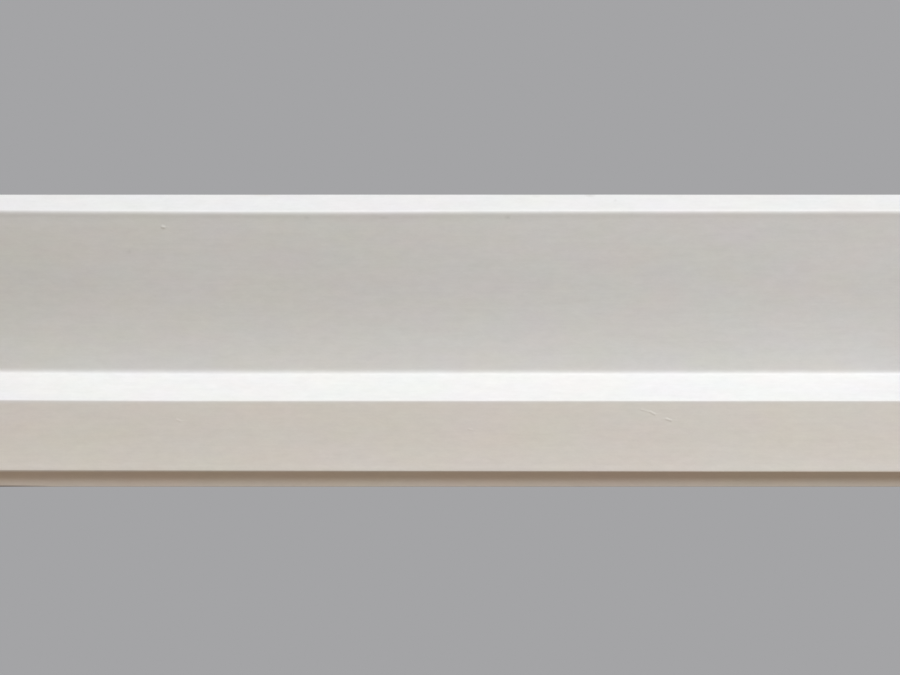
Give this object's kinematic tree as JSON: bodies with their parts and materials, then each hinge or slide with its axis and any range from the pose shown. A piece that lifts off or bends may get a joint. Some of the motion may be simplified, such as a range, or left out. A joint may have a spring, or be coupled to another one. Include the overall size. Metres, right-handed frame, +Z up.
{
  "type": "crown moulding length",
  "caption": "Sprung timber crown moulding, white painted: a long shallow hollow between upright fillets, a smaller hollow below and a quirk at the wall, cut square at both ends.",
  "frame": {"origin": "middle of the face that bears on the wall, halfway along the length", "axes": "+X along the length, to the right of someone who faces the wall; +Y into the wall; +Z up to the ceiling"},
  "size_m": [0.366, 0.0793, 0.0868],
  "materials": {
    "crown_moulding": "satin"
  },
  "bodies": {
    "root": {"crown_moulding": "crown_moulding"}
  },
  "joints": []
}
